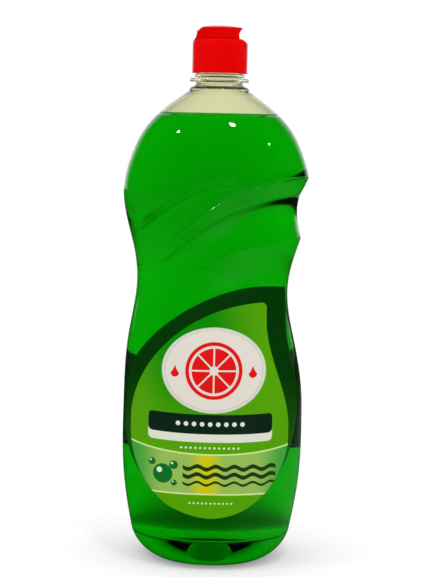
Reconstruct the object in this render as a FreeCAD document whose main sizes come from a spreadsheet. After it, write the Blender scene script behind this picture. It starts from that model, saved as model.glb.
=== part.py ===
import FreeCAD, Part
import math
import os
import Sketcher

# Dish soap bottle with a screw cap and a flip-top lid.
# Millimetres. The bottle stands on the plane z = 0 with its axis on Z and its front facing -Y.
# The body is an oval form without a plane of symmetry from left to right: its right side is
# hollowed for the fingers. Everything above the throat is round.

# Driving dimensions. The body's outline runs through stations; each station lies one rise
# above the station before it and has a half width and a half depth.
SIZES = {
    "heel_rise": 22.0,
    "hip_rise": 26.0,
    "belly_rise": 40.0,
    "flank_rise": 37.0,
    "waist_rise": 35.0,
    "grip_rise": 23.0,
    "bulge_rise": 23.0,
    "dome_rise": 22.0,
    "slope_rise": 15.0,
    "crown_rise": 11.0,
    "throat_rise": 8.0,
    "foot_half_width": 41.0,
    "heel_half_width": 46.1,
    "hip_half_width": 49.9,
    "belly_half_width": 50.5,
    "flank_half_width": 48.4,
    "waist_half_width": 44.0,
    "grip_half_width": 48.2,
    "bulge_half_width": 52.3,
    "dome_half_width": 47.5,
    "slope_half_width": 39.4,
    "crown_half_width": 28.2,
    "foot_half_depth": 45.5,
    "heel_half_depth": 43.0,
    "hip_half_depth": 43.2,
    "belly_half_depth": 43.5,
    "flank_half_depth": 41.0,
    "waist_half_depth": 37.0,
    "grip_half_depth": 40.0,
    "bulge_half_depth": 42.8,
    "dome_half_depth": 39.8,
    "slope_half_depth": 33.8,
    "crown_half_depth": 25.2,
    "throat_radius": 16.9,
    # Heel, foot and wall of the bottle.
    "heel_radius": 16.0,
    "wall": 0.6,
    "dimple_radius": 21.0,
    "dimple_height": 7.0,
    # Finger scoop below the bulge, shallow ledge on the left of it, palm hollow in the flank.
    "scoop_depth": 6.6,
    "scoop_lift": 9.4,
    "scoop_drop": 1.6,
    "ledge_depth": 1.8,
    "ledge_lift": 9.2,
    "palm_depth": 4.1,
    "palm_lift": 12.4,
    "palm_reach": 51.0,
    # Liquid.
    "headspace": 13.0,
    "liquid_clearance": 0.3,
    # Labels.
    "label_clearance": 0.2,
    "label_thickness": 0.2,
    "label_low": 29.0,
    "label_height": 127.0,
    "label_left": 49.0,
    "label_right": 47.0,
    "back_label_low": 56.0,
    "back_label_height": 52.0,
    "back_label_half_width": 29.0,
    "back_label_corner": 7.0,
    # Neck.
    "bore_radius": 10.87,
    "neck_wall": 1.63,
    "collar_rise": 2.3,
    "collar_step": 0.5,
    "collar_slope": 1.5,
    "stem_wall": 3.0,
    "stem_rise": 3.0,
    "flange_overhang": 2.6,
    "flange_rise": 1.8,
    "bead_gap": 0.9,
    "bead_rise": 1.6,
    "bead_overhang": 1.5,
    "finish_rise": 16.7,
    "thread_overhang": 1.2,
    # Cap.
    "thread_clearance": 0.35,
    "skirt_clearance": 0.5,
    "skirt_wall": 1.35,
    "gasket_thickness": 1.0,
    "gasket_clearance": 0.35,
    "deck_thickness": 2.0,
    "shoulder_radius": 3.0,
    "nozzle_radius": 3.6,
    "nozzle_rise": 3.0,
    "orifice_radius": 1.7,
    # Flip-top lid.
    "lid_radius": 12.9,
    "lid_side_rise": 6.0,
    "lid_dome_rise": 1.3,
    "lid_wall": 3.7,
    "roof_thickness": 1.9,
    "pin_reach": 2.0,
    "pin_tip_radius": 0.9,
    "pin_root_radius": 1.8,
    "hinge_reach": 0.5,
    "hinge_half_width": 7.5,
    "hinge_rise": 3.9,
    "hinge_root": 2.5,
    "hinge_slant": 0.4,
    "chamfer_start": 8.5,
    "notch_radius": 4.6,
    "notch_depth": 2.4,
    "notch_lift": 1.9,
}

STATIONS = (
    "foot", "heel", "hip", "belly", "flank", "waist", "grip", "bulge", "dome", "slope", "crown", "throat",
)

# Fineness of the free-form surfaces.
COLUMNS = 64
ROW_STEP = 3.0

# The front label's outline, from its upper right corner round to the left, as shares of its own
# width and height. A straight edge closes it on the right.
LABEL_SWEEP = (
    (0.917, 0.99),
    (0.75, 1.0),
    (0.531, 0.962),
    (0.303, 0.872),
    (0.147, 0.768),
    (0.052, 0.662),
    (0.006, 0.531),
    (0.0, 0.429),
    (0.031, 0.272),
    (0.094, 0.185),
    (0.19, 0.09),
    (0.331, 0.028),
    (0.511, 0.0),
    (0.664, 0.022),
    (0.777, 0.072),
    (0.886, 0.169),
    (0.963, 0.291),
    (0.997, 0.417),
    (1.0, 0.535),
    (0.978, 0.638),
    (0.948, 0.724),
    (0.927, 0.819),
)

doc = FreeCAD.newDocument("DishSoapBottle")
sheet = doc.addObject("Spreadsheet::Sheet", "Sizes")
for row, (name, number) in enumerate(SIZES.items(), start=1):
    sheet.set("A%d" % row, name)
    sheet.set("B%d" % row, str(number))
    sheet.setAlias("B%d" % row, name)
doc.recompute()


def size(name):
    """One driving dimension, read from the sheet."""
    return float(sheet.get(name))


def total(*names):
    """An expression for the sum of several driving dimensions."""
    return " + ".join("Sizes." + name for name in names)


# Levels above the foot, as expressions. The bodies of neck and cap stand on the throat level.
RISES = [station + "_rise" for station in STATIONS[1:]]
THROAT = total(*RISES)
COLLAR_TOP = total("collar_rise")
STEM_TOP = total("collar_rise", "stem_rise")
FLANGE_TOP = STEM_TOP + " + " + total("flange_rise")
BEAD_LOW = FLANGE_TOP + " + " + total("bead_gap")
BEAD_TOP = BEAD_LOW + " + " + total("bead_rise")
NECK_TOP = BEAD_TOP + " + " + total("finish_rise")
SKIRT_LOW = BEAD_TOP + " + " + total("skirt_clearance")
GASKET_TOP = NECK_TOP + " + " + total("gasket_thickness")
DECK_TOP = GASKET_TOP + " + " + total("deck_thickness")

# Radii, as expressions.
NECK_RADIUS = total("bore_radius", "neck_wall")
STEM_RADIUS = total("bore_radius", "stem_wall")
FLANGE_RADIUS = STEM_RADIUS + " + " + total("flange_overhang")
BEAD_RADIUS = NECK_RADIUS + " + " + total("bead_overhang")
CAP_BORE = NECK_RADIUS + " + " + total("thread_overhang", "thread_clearance")
CAP_RADIUS = CAP_BORE + " + " + total("skirt_wall")
GASKET_RADIUS = CAP_BORE + " - Sizes.gasket_clearance"


def value(expression):
    """The number that an expression of driving dimensions gives."""
    result = sheet.evalExpression(expression)
    return float(getattr(result, "Value", result))


# The body's form.

level_of = {"foot": 0.0}
for below, station in zip(STATIONS, STATIONS[1:]):
    level_of[station] = level_of[below] + size(station + "_rise")
THROAT_LEVEL = level_of["throat"]


def station_point(station):
    """Level, half width and half depth of one station as a point for the interpolating curve."""
    if station == "throat":
        return FreeCAD.Vector(THROAT_LEVEL, size("throat_radius"), size("throat_radius"))
    return FreeCAD.Vector(level_of[station], size(station + "_half_width"), size(station + "_half_depth"))


stations = Part.BSplineCurve()
stations.interpolate(
    Points=[station_point(station) for station in STATIONS],
    Parameters=[level_of[station] for station in STATIONS],
)


def clamp(number, low=0.0, high=1.0):
    return max(low, min(high, number))


def smooth(number):
    """A step from 0 to 1 with level ends."""
    step = clamp(number)
    return step * step * (3.0 - 2.0 * step)


def scoop(x, level):
    """Finger scoop: a steep upper crease, a floor, and a long run out at the lower crease."""
    side = 50.0 - x
    upper = level_of["bulge"] + size("scoop_lift") - 0.0060 * side * side
    lower = level_of["grip"] - size("scoop_drop") - 0.0042 * side * side
    down = clamp((upper - level) / (upper - lower))
    rise = 0.93 * clamp(down / 0.30) + 0.07 * smooth((down - 0.30) / 0.15)
    run_out = math.cos(0.5 * math.pi * clamp((down - 0.45) / 0.55))
    return size("scoop_depth") * smooth((x + 38.0) / 74.0) * rise * run_out


def ledge(x, level):
    """Shallow ledge above and to the left of the scoop, a crescent that fades at both ends."""
    drop = level_of["bulge"] + size("ledge_lift") - 0.0082 * (14.0 - x) ** 2 - level
    along = math.sin(math.pi * clamp((x + 47.0) / 61.0)) ** 0.8
    return size("ledge_depth") * along * clamp(drop / 4.5) * (1.0 - smooth((drop - 4.5) / 14.0))


def palm(x, level):
    """Wide soft hollow in the right flank."""
    centre = level_of["flank"] + size("palm_lift") - 0.003 * (50.0 - x) ** 2
    off = clamp((level - centre) / size("palm_reach"), -1.0, 1.0)
    return size("palm_depth") * math.cos(0.5 * math.pi * off) ** 2 * smooth((x + 25.0) / 70.0)


def wall_radius(angle, level):
    """Distance from the axis to the outer wall, leaving the heel's rounding aside.

    Each section is an oval |x/a|^n + |y/b|^n = 1, with n from 2 (an ellipse) at the throat
    to 2.3 in the belly, less the hollows of the grip.
    """
    station = stations.value(clamp(level, 0.0, THROAT_LEVEL))
    power = 2.0 + 0.3 * smooth((THROAT_LEVEL - level) / 25.0) * (0.5 + 0.5 * smooth(level / 40.0))
    across = abs(math.cos(angle) / station.y) ** power
    deep = abs(math.sin(angle) / station.z) ** power
    radius = (across + deep) ** (-1.0 / power)
    x = radius * math.cos(angle)
    return radius - scoop(x, level) - ledge(x, level) - palm(x, level)


def form_point(angle, level, inset):
    """A point of the form moved inwards by inset, square to the wall, at one angle and level."""
    reach = 0.5
    slope = (wall_radius(angle, level + reach) - wall_radius(angle, level - reach)) / (2.0 * reach)
    radius = wall_radius(angle, level) - inset * math.sqrt(1.0 + slope * slope)
    heel = size("heel_radius")
    if level < heel:
        arc = heel - inset
        radius -= arc - math.sqrt(max(arc * arc - (heel - level) ** 2, 0.0))
    return FreeCAD.Vector(radius * math.cos(angle), radius * math.sin(angle), level)


def form_solid(inset, low, high):
    """The form moved inwards by inset, between two levels, as one smooth solid.

    The side is a cubic surface, closed round the axis, over a grid of poles on the form. The
    rows follow the heel's arc, then the height, at even steps; both ends are flat.
    """
    arc = size("heel_radius") - inset
    bend = arc * math.pi / 2.0

    def path(level):
        if level < size("heel_radius"):
            return arc * math.acos(clamp((size("heel_radius") - level) / arc))
        return bend + level - size("heel_radius")

    def level_at(way):
        if way < bend:
            return size("heel_radius") - arc * math.cos(way / arc)
        return size("heel_radius") + way - bend

    start, end = path(low), path(high)
    spans = math.ceil((end - start) / ROW_STEP)
    places = [0.0, 1.0 / 3.0] + [float(k) for k in range(1, spans)] + [spans - 1.0 / 3.0, float(spans)]
    levels = [level_at(start + (end - start) * place / spans) for place in places]
    levels[0], levels[-1] = low, high
    angles = [2.0 * math.pi * column / COLUMNS - math.pi for column in range(COLUMNS)]
    poles = [[form_point(angle, level, inset) for level in levels] for angle in angles]
    surface = Part.BSplineSurface()
    surface.buildFromPolesMultsKnots(
        poles,
        [1] * (COLUMNS + 1),
        [4] + [1] * (spans - 1) + [4],
        [float(k) for k in range(COLUMNS + 1)],
        [float(k) for k in range(spans + 1)],
        True,
        False,
        3,
        3,
    )
    side = surface.toShape()
    rims = [edge for edge in side.Edges if edge.BoundBox.ZLength < 1e-6]
    ends = [Part.Face(Part.Wire(rim)) for rim in rims]
    shell = Part.Shell([side] + ends)
    shell.sewShape()
    solid = Part.Solid(shell)
    if solid.Volume < 0.0:
        solid.reverse()
    return solid


def feature(name, shape):
    """A free-form piece in the document."""
    piece = doc.addObject("Part::Feature", name)
    piece.Shape = shape
    piece.Placement = FreeCAD.Placement()
    return piece


def boolean(kind, name, base, tool):
    piece = doc.addObject(kind, name)
    piece.Base = base
    piece.Tool = tool
    return piece


# Sketches whose corners follow the sheet.


def plane_of(body, role):
    for plane in body.Origin.OriginFeatures:
        if plane.Role == role:
            return plane


def place_point(sketch, line, end, axis, expression):
    """Ties one end of a line to the sketch's origin, along X or Y, by an expression.

    An expression that starts with a minus sign puts the point on the negative side.
    """
    if expression == "0":
        sketch.addConstraint(Sketcher.Constraint("PointOnObject", line, end, -2 if axis == "X" else -1))
        return
    negative = expression.startswith("-")
    amount = expression.lstrip("-")
    first, second = ((line, end), (-1, 1)) if negative else ((-1, 1), (line, end))
    index = sketch.addConstraint(Sketcher.Constraint("Distance" + axis, *first, *second, value(amount)))
    sketch.setExpression("Constraints[%d]" % index, amount)


def outline_sketch(body, name, plane, corners, arcs=None):
    """A closed outline. Corners are pairs of expressions; arcs gives the radius of bent sides."""
    arcs = arcs or {}
    sketch = body.newObject("Sketcher::SketchObject", name)
    sketch.AttachmentSupport = [(plane_of(body, plane), "")]
    sketch.MapMode = "FlatFace"

    def number(expression):
        return -value(expression[1:]) if expression.startswith("-") else value(expression)

    points = [FreeCAD.Vector(number(across), number(up), 0.0) for across, up in corners]
    count = len(points)
    starts = []
    for index, point in enumerate(points):
        following = points[(index + 1) % count]
        if index in arcs:
            middle = bulge_point(point, following, value(arcs[index]))
            curve = Part.Arc(point, middle, following)
            sketch.addGeometry(curve, False)
            forward = sketch.Geometry[index].StartPoint.distanceToPoint(point) < 1e-6
            starts.append(1 if forward else 2)
        else:
            sketch.addGeometry(Part.LineSegment(point, following), False)
            starts.append(1)
    for index in range(count):
        following = (index + 1) % count
        end = 3 - starts[index]
        sketch.addConstraint(Sketcher.Constraint("Coincident", index, end, following, starts[following]))
    for index, (across, up) in enumerate(corners):
        place_point(sketch, index, starts[index], "X", across)
        place_point(sketch, index, starts[index], "Y", up)
    for index, radius in arcs.items():
        place = sketch.addConstraint(Sketcher.Constraint("Radius", index, value(radius)))
        sketch.setExpression("Constraints[%d]" % place, radius)
    return sketch


def bulge_point(start, end, radius):
    """The middle of the arc of one radius from start to end that bulges away from the origin."""
    half = (end - start) * 0.5
    middle = start + half
    outward = FreeCAD.Vector(-half.y, half.x, 0.0)
    outward.normalize()
    if outward.dot(middle) < 0.0:
        outward = outward * -1.0
    depth = radius - math.sqrt(max(radius * radius - half.Length ** 2, 0.0))
    return middle + outward * depth


def turned_body(name, corners, arcs=None):
    """A round body turned about the axis, standing on the throat level."""
    body = doc.addObject("PartDesign::Body", name)
    sketch = outline_sketch(body, name + "_outline", "XZ_Plane", corners, arcs)
    turned = body.newObject("PartDesign::Revolution", name + "_turned")
    turned.Profile = sketch
    turned.ReferenceAxis = (sketch, ["V_Axis"])
    turned.Angle = 360.0
    body.Tip = turned
    body.setExpression("Placement.Base.z", THROAT)
    doc.recompute()
    return body, turned


def round_edge(body, base, name, radius_name, edge_radius, edge_level):
    """Rounds the circular edge of a turned body that has one radius and level."""
    chosen = []
    for number, edge in enumerate(base.Shape.Edges, start=1):
        if not isinstance(edge.Curve, Part.Circle):
            continue
        near_radius = abs(edge.Curve.Radius - edge_radius) < 1e-4
        if near_radius and abs(edge.Curve.Center.z - edge_level) < 1e-4:
            chosen.append("Edge%d" % number)
    fillet = body.newObject("PartDesign::Fillet", name)
    fillet.Base = (base, chosen)
    fillet.setExpression("Radius", "Sizes." + radius_name)
    body.Tip = fillet
    doc.recompute()
    return fillet


def through_all(body, pocket, base):
    """Cuts a sketch through a turned body both ways, and makes sure that it cuts."""
    pocket.SideType = "Symmetric"
    pocket.setExpression("Length", "4 * Sizes.lid_radius")
    body.Tip = pocket
    doc.recompute()
    if pocket.Shape.Volume > base.Shape.Volume - 1.0:
        raise RuntimeError("%s cuts nothing" % pocket.Name)


# Bottle: an oval form with a neck, hollow, with a dimple in its foot.


def dimple(name, extra):
    """The ball whose top makes the dimple in the foot; extra thickens it for the inside."""
    ball = doc.addObject("Part::Sphere", name)
    mouth = "(Sizes.dimple_radius ^ 2 + Sizes.dimple_height ^ 2) / (2 * Sizes.dimple_height)"
    ball.setExpression("Radius", mouth + extra)
    ball.setExpression("Placement.Base.z", "Sizes.dimple_height - " + mouth)
    return ball


def make_bottle():
    thickness = size("wall")
    outside = feature("bottle_outside", form_solid(0.0, 0.0, THROAT_LEVEL))
    inside = feature("bottle_inside", form_solid(thickness, thickness, THROAT_LEVEL - thickness))
    hollowed_foot = boolean("Part::Cut", "bottle_footed", outside, dimple("foot_dimple", ""))
    cavity = boolean("Part::Cut", "bottle_cavity", inside, dimple("cavity_dimple", " + Sizes.wall"))
    collar = "Sizes.throat_radius - Sizes.collar_step"
    neck, _ = turned_body(
        "bottle_neck",
        [
            ("0", "0"),
            (collar, "0"),
            (collar + " - Sizes.collar_slope", COLLAR_TOP),
            (STEM_RADIUS, COLLAR_TOP),
            (STEM_RADIUS, STEM_TOP),
            (FLANGE_RADIUS, STEM_TOP),
            (FLANGE_RADIUS, FLANGE_TOP),
            (NECK_RADIUS, FLANGE_TOP),
            (NECK_RADIUS, BEAD_LOW),
            (BEAD_RADIUS, BEAD_LOW),
            (NECK_RADIUS, BEAD_TOP),
            (NECK_RADIUS, NECK_TOP),
            ("0", NECK_TOP),
        ],
    )
    bore = doc.addObject("Part::Cylinder", "neck_bore")
    bore.setExpression("Radius", "Sizes.bore_radius")
    bore.setExpression("Height", NECK_TOP + " + 4 * Sizes.wall")
    bore.setExpression("Placement.Base.z", THROAT + " - 2 * Sizes.wall")
    whole = boolean("Part::Fuse", "bottle_whole", hollowed_foot, neck)
    open_space = boolean("Part::Fuse", "bottle_space", cavity, bore)
    return boolean("Part::Cut", "bottle", whole, open_space)


# Liquid: fills the bottle up to its level, just clear of the wall.


def make_liquid():
    inset = size("wall") + size("liquid_clearance")
    fill = feature("liquid_form", form_solid(inset, inset, THROAT_LEVEL - size("headspace")))
    ball = dimple("liquid_dimple", " + Sizes.wall + Sizes.liquid_clearance")
    return boolean("Part::Cut", "liquid", fill, ball)


# Labels: thin skins that follow the form, cut to their outlines.


def skin(name, outline_face, direction, low, high):
    """A skin of the label's thickness over the form, where the outline's extrusion meets it."""
    clearance = size("label_clearance")
    margin = 2.0
    outer = form_solid(-clearance - size("label_thickness"), low - margin, high + margin)
    inner = form_solid(-clearance, low - margin, high + margin)
    reach = 2.0 * max(size(station + "_half_depth") for station in STATIONS[:-1])
    stamp = outline_face.extrude(FreeCAD.Vector(0.0, direction * reach, 0.0))
    return feature(name, outer.common(stamp).cut(inner))


def make_front_label():
    width = size("label_left") + size("label_right")
    low = size("label_low")
    points = [
        FreeCAD.Vector(share_x * width - size("label_left"), 0.0, low + share_z * size("label_height"))
        for share_x, share_z in LABEL_SWEEP
    ]
    curve = Part.BSplineCurve()
    curve.interpolate(points)
    closing = Part.LineSegment(points[-1], points[0])
    outline = Part.Face(Part.Wire([curve.toShape(), closing.toShape()]))
    return skin("front_label", outline, -1.0, low, low + size("label_height"))


def make_back_label():
    half = size("back_label_half_width")
    corner = size("back_label_corner")
    low = size("back_label_low")
    high = low + size("back_label_height")
    plate = Part.makeBox(2.0 * half, 1.0, high - low, FreeCAD.Vector(-half, 0.0, low))
    upright = [edge for edge in plate.Edges if edge.BoundBox.YLength > 0.5]
    rounded = plate.makeFillet(corner, upright)
    outline = [face for face in rounded.Faces if face.BoundBox.YMax < 1e-6][0]
    return skin("back_label", outline, 1.0, low, high)


# Sealing ring: a flat gasket on the neck's rim, under the cap's deck.


def make_sealing_ring():
    body, _ = turned_body(
        "sealing_ring",
        [
            ("Sizes.bore_radius", NECK_TOP),
            (GASKET_RADIUS, NECK_TOP),
            (GASKET_RADIUS, GASKET_TOP),
            ("Sizes.bore_radius", GASKET_TOP),
        ],
    )
    return body


# Cap base: skirt round the neck's thread, deck over the gasket, and a nozzle.


def make_cap_base():
    nozzle_top = DECK_TOP + " + Sizes.nozzle_rise"
    body, turned = turned_body(
        "cap_base",
        [
            (CAP_BORE, SKIRT_LOW),
            (CAP_RADIUS, SKIRT_LOW),
            (CAP_RADIUS, DECK_TOP),
            ("Sizes.nozzle_radius", DECK_TOP),
            ("Sizes.nozzle_radius", nozzle_top),
            ("Sizes.orifice_radius", nozzle_top),
            ("Sizes.orifice_radius", GASKET_TOP),
            (CAP_BORE, GASKET_TOP),
        ],
    )
    round_edge(body, turned, "cap_shoulder", "shoulder_radius", value(CAP_RADIUS), value(DECK_TOP))
    return body


# Lid: a cup with a sealing pin. On its left are the hinge block and a chamfer over it, and on its
# right a notch leaves a lip for the thumb.


def make_cap_lid():
    side_top = DECK_TOP + " + Sizes.lid_side_rise"
    lid_top = side_top + " + Sizes.lid_dome_rise"
    ceiling = lid_top + " - Sizes.roof_thickness"
    pin_tip = DECK_TOP + " + Sizes.nozzle_rise - Sizes.pin_reach"
    inner = "Sizes.lid_radius - Sizes.lid_wall"
    crown = "(Sizes.lid_radius ^ 2 + Sizes.lid_dome_rise ^ 2) / (2 * Sizes.lid_dome_rise)"
    body, _ = turned_body(
        "cap_lid",
        [
            ("0", pin_tip),
            ("Sizes.pin_tip_radius", pin_tip),
            ("Sizes.pin_root_radius", ceiling),
            (inner, ceiling),
            (inner, DECK_TOP),
            ("Sizes.lid_radius", DECK_TOP),
            ("Sizes.lid_radius", side_top),
            ("0", lid_top),
        ],
        {6: crown},
    )
    outer = "-(Sizes.lid_radius + Sizes.hinge_reach)"
    slanted = "-(Sizes.lid_radius + Sizes.hinge_reach - Sizes.hinge_slant)"
    root = "-(Sizes.lid_radius - Sizes.hinge_root)"
    hinge_top = DECK_TOP + " + Sizes.hinge_rise"
    block = body.newObject("PartDesign::Pad", "hinge_block")
    block.Profile = outline_sketch(
        body,
        "hinge_outline",
        "XZ_Plane",
        [
            (root, DECK_TOP),
            (outer, DECK_TOP),
            (slanted, hinge_top),
            (root, hinge_top),
        ],
    )
    block.SideType = "Symmetric"
    block.setExpression("Length", "2 * Sizes.hinge_half_width")
    body.Tip = block
    doc.recompute()
    beyond = "-(Sizes.lid_radius + Sizes.hinge_reach + Sizes.lid_wall)"
    over = lid_top + " + Sizes.lid_wall"
    chamfer = body.newObject("PartDesign::Pocket", "lid_chamfer")
    chamfer.Profile = outline_sketch(
        body,
        "chamfer_outline",
        "XZ_Plane",
        [
            (beyond, hinge_top),
            (slanted, hinge_top),
            ("-Sizes.chamfer_start", lid_top),
            ("-Sizes.chamfer_start", over),
            (beyond, over),
        ],
    )
    through_all(body, chamfer, block)
    notch = body.newObject("PartDesign::Pocket", "thumb_notch")
    ring = body.newObject("Sketcher::SketchObject", "notch_outline")
    ring.AttachmentSupport = [(plane_of(body, "XZ_Plane"), "")]
    ring.MapMode = "FlatFace"
    across = "Sizes.lid_radius - Sizes.notch_depth + Sizes.notch_radius"
    up = DECK_TOP + " + Sizes.notch_lift"
    centre = FreeCAD.Vector(value(across), value(up), 0.0)
    ring.addGeometry(Part.Circle(centre, FreeCAD.Vector(0.0, 0.0, 1.0), size("notch_radius")), False)
    place_point(ring, 0, 3, "X", across)
    place_point(ring, 0, 3, "Y", up)
    radius = ring.addConstraint(Sketcher.Constraint("Radius", 0, size("notch_radius")))
    ring.setExpression("Constraints[%d]" % radius, "Sizes.notch_radius")
    notch.Profile = ring
    through_all(body, notch, chamfer)
    return body


makers = (
    make_bottle, make_liquid, make_front_label, make_back_label, make_sealing_ring, make_cap_base, make_cap_lid,
)
sub_parts = [make() for make in makers]
doc.recompute()

for item in doc.Objects:
    if "Invalid" in item.State or "Error" in item.State:
        raise RuntimeError("%s failed: %s" % (item.Name, item.State))

for piece in sub_parts:
    piece.Label = piece.Name
    if piece.Shape.isNull() or not piece.Shape.isValid():
        raise RuntimeError("%s has no valid shape" % piece.Label)

os.makedirs("parts", exist_ok=True)
for piece in sub_parts:
    piece.Shape.exportStep("parts/%s.step" % piece.Label)
    box = piece.Shape.BoundBox
    print(
        "%-13s %d solid(s), %.2f ml, x %.1f to %.1f, y %.1f to %.1f, z %.1f to %.1f"
        % (
            piece.Label,
            len(piece.Shape.Solids),
            piece.Shape.Volume / 1000.0,
            box.XMin,
            box.XMax,
            box.YMin,
            box.YMax,
            box.ZMin,
            box.ZMax,
        )
    )
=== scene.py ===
# %% [markdown]
# A dish soap bottle, dressed for a photograph.
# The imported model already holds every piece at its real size: a hollow blown bottle, the liquid in
# it, two labels, a sealing ring, and a screw cap with a flip-top lid.
# This lesson makes each of those pieces again as a smooth surface worked out with numpy, gives it
# the finish of the real material, and puts it into a plain white studio.
# A reader who is learning Blender can follow one idea all the way through: a shape is a grid of
# points, each row a level or a way along an outline, each column an angle round the axis.

# %% The frame
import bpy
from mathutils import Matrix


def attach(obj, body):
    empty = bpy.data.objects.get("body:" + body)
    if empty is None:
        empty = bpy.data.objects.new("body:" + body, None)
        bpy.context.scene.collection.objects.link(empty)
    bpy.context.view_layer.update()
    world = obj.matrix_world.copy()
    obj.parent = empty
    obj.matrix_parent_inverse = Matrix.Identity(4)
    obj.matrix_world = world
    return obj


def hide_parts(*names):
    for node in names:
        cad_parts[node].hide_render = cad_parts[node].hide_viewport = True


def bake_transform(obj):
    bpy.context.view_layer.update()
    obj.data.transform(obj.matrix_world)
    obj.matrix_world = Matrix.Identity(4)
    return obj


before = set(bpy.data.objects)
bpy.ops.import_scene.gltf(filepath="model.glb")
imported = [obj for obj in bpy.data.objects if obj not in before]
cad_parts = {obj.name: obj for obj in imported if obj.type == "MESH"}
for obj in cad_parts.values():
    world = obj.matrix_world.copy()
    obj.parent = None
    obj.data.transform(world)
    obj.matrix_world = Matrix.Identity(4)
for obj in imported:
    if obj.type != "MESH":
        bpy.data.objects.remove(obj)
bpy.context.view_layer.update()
print("pieces in the frame:", sorted(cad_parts))

# %% Modules
import math

import bpy
import numpy as np
from mathutils import Matrix

# %% [markdown]
# First some small helpers. Lengths are written in millimetres, because that is how a bottle is
# drawn, and they are turned into metres only where a mesh is made.
# A smooth step is used wherever something fades in: it goes from 0 to 1 with level ends, so no
# crease shows where the fade begins or stops. The last two helpers measure along a line of points.

# %% Small helpers
MM = 0.001


def smooth(number):
    """A step from 0 to 1 with level ends: 3 n squared less 2 n cubed, n kept between 0 and 1."""
    step = np.clip(number, 0.0, 1.0)
    return step * step * (3.0 - 2.0 * step)


def soft_min(first, second, reach):
    """The smaller of two numbers, with a rounded change-over about as wide as reach."""
    return 0.5 * (first + second - np.sqrt((first - second) ** 2 + reach * reach))


def soft_max(first, second, reach):
    """The larger of two numbers, with a rounded change-over about as wide as reach."""
    return -soft_min(-first, -second, reach)


def curve_through(places, values):
    """A cubic curve through points, with an even bend at each.

    Between two points it is the cubic that has their values and slopes. The slopes come from one
    set of equations that makes the bend the same on both sides of each point; at the two ends the
    slope is that of the parabola through the last three points.
    """
    gap = np.diff(places)
    rise = np.diff(values) / gap
    count = len(places)
    matrix = np.zeros((count, count))
    right = np.zeros(count)
    inner = np.arange(1, count - 1)
    matrix[0, 0] = matrix[-1, -1] = 1.0
    right[0] = rise[0] - gap[0] * (rise[1] - rise[0]) / (gap[0] + gap[1])
    right[-1] = rise[-1] + gap[-1] * (rise[-1] - rise[-2]) / (gap[-1] + gap[-2])
    matrix[inner, inner - 1] = gap[1:]
    matrix[inner, inner] = 2.0 * (gap[:-1] + gap[1:])
    matrix[inner, inner + 1] = gap[:-1]
    right[inner] = 3.0 * (gap[1:] * rise[:-1] + gap[:-1] * rise[1:])
    slope = np.linalg.solve(matrix, right)

    def curve(place):
        place = np.clip(place, places[0], places[-1])
        below = np.clip(np.searchsorted(places, place, side="right") - 1, 0, count - 2)
        share = (place - places[below]) / gap[below]
        rest = 1.0 - share
        start = (1.0 + 2.0 * share) * rest**2 * values[below]
        end = (1.0 + 2.0 * rest) * share**2 * values[below + 1]
        bends = share * rest * (rest * slope[below] - share * slope[below + 1])
        return start + end + gap[below] * bends

    return curve


def parabola(start, corner, end, t):
    """(1-t) squared times start, plus 2 t (1-t) times corner, plus t squared times end."""
    return (1.0 - t) ** 2 * start + 2.0 * t * (1.0 - t) * corner + t**2 * end


def way_along(line):
    """How far along a line each of its points lies: the running sum of the gaps between them."""
    gaps = np.linalg.norm(np.diff(line, axis=0), axis=1)
    return np.concatenate([[0.0], np.cumsum(gaps)])


def points_at(places, line):
    """The points that lie these distances along a line."""
    way = way_along(line)
    return np.stack([np.interp(places, way, line[:, axis]) for axis in (0, 1)], axis=-1)


print("a smooth step at 0.25 is", float(smooth(0.25)))

# %% [markdown]
# A grid of points becomes a mesh by joining each point to its neighbours. All the pieces here are
# closed round their columns. Their rows either start and end in a single point, like the foot and
# the top of a lid, or come back to where they began, like a ring.
# Numpy makes all the faces at once as arrays of numbers, so no loop runs over the points.
# The columns run anticlockwise seen from above and the rows run up the outside, and that order
# makes every face look outwards.

# %% Meshes from grids
COLUMNS = 176
angles = np.arange(COLUMNS) * 2.0 * math.pi / COLUMNS - math.pi
pieces = {}


def round_points(radius, level, angle=angles):
    """A grid of points from a radius, a level and an angle for each: x = r cos a, y = r sin a."""
    radius, level, angle = np.broadcast_arrays(radius, level, angle)
    return np.stack([radius * np.cos(angle), radius * np.sin(angle), level], axis=-1)


def turned(outline):
    """An outline carried round the axis: the radius and the level of each of its points, as rows."""
    return outline[:, :1] * np.ones(COLUMNS), outline[:, 1:] * np.ones(COLUMNS)


def joined(parts):
    """Sets of rows, each a radius and a level, set one after the other."""
    return [np.concatenate([part[number] for part in parts]) for number in (0, 1)]


def placed(name, data):
    """A new object in the scene that shows this mesh, camera or lamp."""
    made = bpy.data.objects.new(name, data)
    bpy.context.scene.collection.objects.link(made)
    return made


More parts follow.
